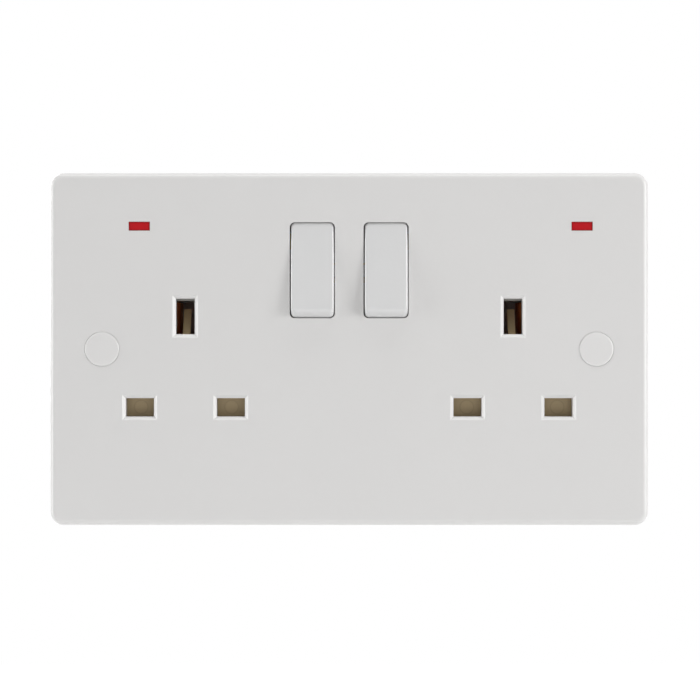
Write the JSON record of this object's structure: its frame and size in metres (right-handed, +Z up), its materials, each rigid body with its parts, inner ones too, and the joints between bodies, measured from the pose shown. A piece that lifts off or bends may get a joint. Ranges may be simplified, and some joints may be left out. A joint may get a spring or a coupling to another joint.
{
  "type": "twin switched socket",
  "caption": "Flush wall plate with side by side switched mains sockets, centre rocker switches, small neon indicators, capped fixing screws and a rear terminal housing.",
  "frame": {"origin": "midway between the two fixing holes, in the plane of the plate's rear rim, which is the wall's surface", "axes": "+X to the right seen from the room, -Y out of the wall towards the room, +Z up"},
  "size_m": [0.146, 0.032, 0.086],
  "materials": {
    "front_plate": "moulded white, satin gloss",
    "rockers": "moulded white, gloss",
    "screw_caps": "moulded white, gloss",
    "rear_housing": "moulded white, matt",
    "shutters": "moulded taupe, satin",
    "plungers": "moulded nylon, matt",
    "neon_lenses": "moulded translucent red, gloss",
    "lamp_glass": "clear blown glass",
    "resistors": "lacquered, satin",
    "lead_wires": "tinned wire, drawn",
    "contacts": "pressed copper alloy, plain",
    "silver_tips": "silver alloy, plain",
    "brass_bars": "pressed sheet, plain",
    "brass_terminals": "sawn and drilled bar, plain",
    "brass_screws": "turned, plain",
    "steel_screws": "zinc plated, bright",
    "springs": "drawn spring wire"
  },
  "bodies": {
    "socket": {"front_plate": "front_plate", "rear_housing": "rear_housing", "assembly_screws": "steel_screws", "neutral_bar": "brass_bars", "earth_bar": "brass_bars", "live_bar": "brass_bars", "left_switched_strip": "brass_bars", "right_switched_strip": "brass_bars", "neutral_terminal": "brass_terminals", "earth_terminal": "brass_terminals", "live_terminal": "brass_terminals", "left_screw_cap": "screw_caps", "left_neon_lens": "neon_lenses", "left_neon_lamp": "lamp_glass", "left_neon_resistor": "resistors", "left_neon_live_lead": "lead_wires", "left_neon_neutral_lead": "lead_wires", "left_earth_contact": "contacts", "left_neutral_contact": "contacts", "left_live_contact": "contacts", "left_fulcrum_bracket": "contacts", "left_fixed_tip": "silver_tips", "left_shutter_spring": "springs", "right_screw_cap": "screw_caps", "right_neon_lens": "neon_lenses", "right_neon_lamp": "lamp_glass", "right_neon_resistor": "resistors", "right_neon_live_lead": "lead_wires", "right_neon_neutral_lead": "lead_wires", "right_earth_contact": "contacts", "right_neutral_contact": "contacts", "right_live_contact": "contacts", "right_fulcrum_bracket": "contacts", "right_fixed_tip": "silver_tips", "right_shutter_spring": "springs"},
    "left_rocker": {"left_rocker": "rockers", "left_plunger_spring": "springs"},
    "left_plunger": {"left_plunger": "plungers"},
    "left_moving_contact": {"left_moving_contact": "contacts", "left_moving_tip": "silver_tips"},
    "left_shutter": {"left_shutter": "shutters"},
    "right_rocker": {"right_rocker": "rockers", "right_plunger_spring": "springs"},
    "right_plunger": {"right_plunger": "plungers"},
    "right_moving_contact": {"right_moving_contact": "contacts", "right_moving_tip": "silver_tips"},
    "right_shutter": {"right_shutter": "shutters"},
    "neutral_terminal_screw": {"neutral_terminal_screw": "brass_screws"},
    "earth_terminal_screw": {"earth_terminal_screw": "brass_screws"},
    "live_terminal_screw": {"live_terminal_screw": "brass_screws"}
  },
  "joints": [
    {"name": "left_rocker_tilt", "type": "hinge", "parent": "socket", "child": "left_rocker", "pos_m": [-0.009, -0.003, 0.01925], "axis": [1, 0, 0], "range_deg": [0, 12]},
    {"name": "left_plunger_slide", "type": "slide", "parent": "left_rocker", "child": "left_plunger", "axis": [0, -0.9945, 0.1045], "range_m": [0, 0.0008], "stiffness_N_per_m": 400, "deforming": ["left_plunger_spring"]},
    {"name": "left_contact_tilt", "type": "hinge", "parent": "socket", "child": "left_moving_contact", "pos_m": [-0.009, 0.0063, 0.01925], "axis": [1, 0, 0], "range_deg": [-18, 0]},
    {"name": "left_shutter_slide", "type": "slide", "parent": "socket", "child": "left_shutter", "axis": [0, 0, -1], "range_m": [0, 0.006], "stiffness_N_per_m": 60, "springref_m": -0.00011, "deforming": ["left_shutter_spring"]},
    {"name": "right_rocker_tilt", "type": "hinge", "parent": "socket", "child": "right_rocker", "pos_m": [0.009, -0.003, 0.01925], "axis": [1, 0, 0], "range_deg": [0, 12]},
    {"name": "right_plunger_slide", "type": "slide", "parent": "right_rocker", "child": "right_plunger", "axis": [0, -0.9945, 0.1045], "range_m": [0, 0.0008], "stiffness_N_per_m": 400, "deforming": ["right_plunger_spring"]},
    {"name": "right_contact_tilt", "type": "hinge", "parent": "socket", "child": "right_moving_contact", "pos_m": [0.009, 0.0063, 0.01925], "axis": [1, 0, 0], "range_deg": [-18, 0]},
    {"name": "right_shutter_slide", "type": "slide", "parent": "socket", "child": "right_shutter", "axis": [0, 0, -1], "range_m": [0, 0.006], "stiffness_N_per_m": 60, "springref_m": -0.00011, "deforming": ["right_shutter_spring"]},
    {"name": "neutral_terminal_screw_turn", "type": "slide", "parent": "socket", "child": "neutral_terminal_screw", "axis": [0, -1, 0], "range_m": [0, 0.0032]},
    {"name": "earth_terminal_screw_turn", "type": "slide", "parent": "socket", "child": "earth_terminal_screw", "axis": [0, -1, 0], "range_m": [0, 0.0032]},
    {"name": "live_terminal_screw_turn", "type": "slide", "parent": "socket", "child": "live_terminal_screw", "axis": [0, -1, 0], "range_m": [0, 0.0032]}
  ],
  "couplings": [
    {"joint": "left_contact_tilt", "follows": "left_rocker_tilt", "ratio": -1.5},
    {"joint": "right_contact_tilt", "follows": "right_rocker_tilt", "ratio": -1.5}
  ]
}
